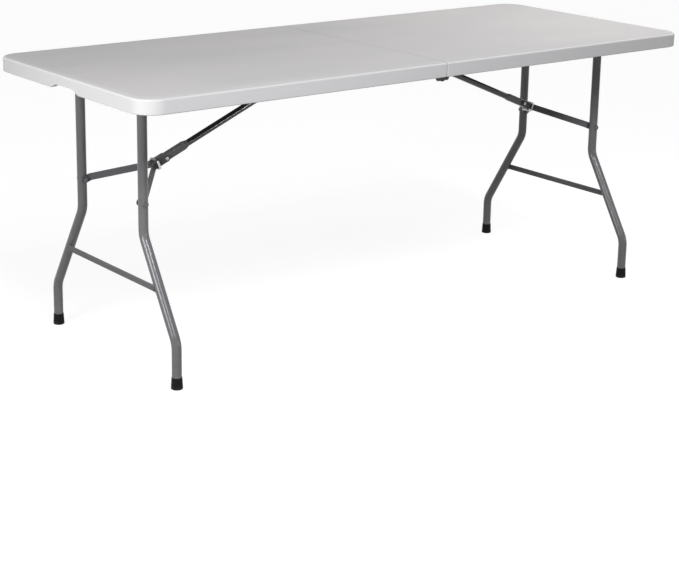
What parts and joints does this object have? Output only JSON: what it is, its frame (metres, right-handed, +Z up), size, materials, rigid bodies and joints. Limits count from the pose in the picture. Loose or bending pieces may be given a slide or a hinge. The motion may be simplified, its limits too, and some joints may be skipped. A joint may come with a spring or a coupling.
{
  "type": "folding table",
  "caption": "Rectangular folding table with a moulded plastic top that closes in half, wishbone steel leg frames on jointed braces with lock rings, and a carry handle.",
  "frame": {"origin": "on the floor under the centre of the open table", "axes": "+X along the length to the right half, +Y across the width to the handle side, +Z up"},
  "size_m": [1.83, 0.7435, 0.74],
  "materials": {
    "rivet": "dark grey coated rivet",
    "moulded_top": "fine-grained off-white blow-moulded plastic",
    "foot_cap": "black moulded rubber",
    "zinc": "bright zinc plate",
    "ring": "plated steel",
    "rail": "dark grey powder coat",
    "bracket": "black coated steel",
    "brace": "dark grey powder coat",
    "staple": "black plastic",
    "strap": "black webbing",
    "grip": "black soft plastic",
    "leg": "grey powder coat"
  },
  "bodies": {
    "left_top": {"left_top": "moulded_top", "left_front_rail": "rail", "left_back_rail": "rail", "left_rail_screws": "zinc", "left_front_hinge_leaf": "bracket", "left_back_hinge_leaf": "bracket", "left_brace_bracket": "bracket", "left_anchor_pin": "zinc", "left_bracket_screws": "zinc", "handle_outer_staple": "staple", "handle_inner_staple": "staple"},
    "left_legs": {"left_leg_pivot_tube": "leg", "left_front_leg_tube": "leg", "left_back_leg_tube": "leg", "left_leg_crossbar": "leg", "left_front_foot_cap": "foot_cap", "left_back_foot_cap": "foot_cap", "left_leg_rivets": "rivet"},
    "left_brace": {"left_brace_tube": "brace", "left_brace_channel": "brace", "left_elbow_rivet": "rivet"},
    "left_yoke": {"left_front_link": "brace", "left_back_link": "brace", "left_link_rivets": "rivet"},
    "left_ring": {"left_lock_ring": "ring"},
    "right_top": {"right_top": "moulded_top", "right_front_rail": "rail", "right_back_rail": "rail", "right_rail_screws": "zinc", "right_front_hinge_leaf": "bracket", "right_back_hinge_leaf": "bracket", "right_brace_bracket": "bracket", "right_anchor_pin": "zinc", "right_bracket_screws": "zinc"},
    "right_legs": {"right_leg_pivot_tube": "leg", "right_front_leg_tube": "leg", "right_back_leg_tube": "leg", "right_leg_crossbar": "leg", "right_front_foot_cap": "foot_cap", "right_back_foot_cap": "foot_cap", "right_leg_rivets": "rivet"},
    "right_brace": {"right_brace_tube": "brace", "right_brace_channel": "brace", "right_elbow_rivet": "rivet"},
    "right_yoke": {"right_front_link": "brace", "right_back_link": "brace", "right_link_rivets": "rivet"},
    "right_ring": {"right_lock_ring": "ring"},
    "hinge_pins": {"front_hinge_pin": "bracket", "back_hinge_pin": "bracket"},
    "handle": {"handle_outer_tail": "strap", "handle_inner_tail": "strap", "handle_grip": "grip"}
  },
  "joints": [
    {"name": "fold_first", "type": "hinge", "parent": "left_top", "child": "hinge_pins", "pos_m": [0, 0, 0.7], "axis": [0, 1, 0], "range_deg": [0, 90]},
    {"name": "fold_second", "type": "hinge", "parent": "hinge_pins", "child": "right_top", "pos_m": [0, 0, 0.7], "axis": [0, 1, 0], "range_deg": [0, 90]},
    {"name": "left_leg_fold", "type": "hinge", "parent": "left_top", "child": "left_legs", "pos_m": [-0.788, 0, 0.716], "axis": [0, -1, 0], "range_deg": [0, 90]},
    {"name": "left_brace_swing", "type": "hinge", "parent": "left_top", "child": "left_brace", "pos_m": [-0.105, 0, 0.7205], "axis": [0, 1, 0], "range_deg": [0, 22.05]},
    {"name": "left_elbow_fold", "type": "hinge", "parent": "left_brace", "child": "left_yoke", "pos_m": [-0.63192, 0, 0.50024], "axis": [0, -1, 0], "range_deg": [0, 180.01]},
    {"name": "left_ring_slide", "type": "slide", "parent": "left_brace", "child": "left_ring", "axis": [0.9226, 0, 0.3857], "range_m": [0, 0.2501]},
    {"name": "right_leg_fold", "type": "hinge", "parent": "right_top", "child": "right_legs", "pos_m": [0.788, 0, 0.716], "axis": [0, 1, 0], "range_deg": [0, 90]},
    {"name": "right_brace_swing", "type": "hinge", "parent": "right_top", "child": "right_brace", "pos_m": [0.105, 0, 0.7205], "axis": [0, -1, 0], "range_deg": [0, 22.05]},
    {"name": "right_elbow_fold", "type": "hinge", "parent": "right_brace", "child": "right_yoke", "pos_m": [0.63192, 0, 0.50024], "axis": [0, 1, 0], "range_deg": [0, 180.01]},
    {"name": "right_ring_slide", "type": "slide", "parent": "right_brace", "child": "right_ring", "axis": [-0.9226, 0, 0.3857], "range_m": [0, 0.2501]},
    {"name": "handle_swing", "type": "hinge", "parent": "left_top", "child": "handle", "pos_m": [-0.45, 0.3725, 0.715], "axis": [1, 0, 0], "range_deg": [0, 90]}
  ],
  "couplings": [
    {"joint": "left_brace_swing", "follows": "left_leg_fold", "ratio": 0.24493},
    {"joint": "left_elbow_fold", "follows": "left_leg_fold", "ratio": 2},
    {"joint": "left_ring_slide", "follows": "left_leg_fold", "m_per_rad": 0.15915},
    {"joint": "right_brace_swing", "follows": "right_leg_fold", "ratio": 0.24493},
    {"joint": "right_elbow_fold", "follows": "right_leg_fold", "ratio": 2},
    {"joint": "right_ring_slide", "follows": "right_leg_fold", "m_per_rad": 0.15915}
  ]
}
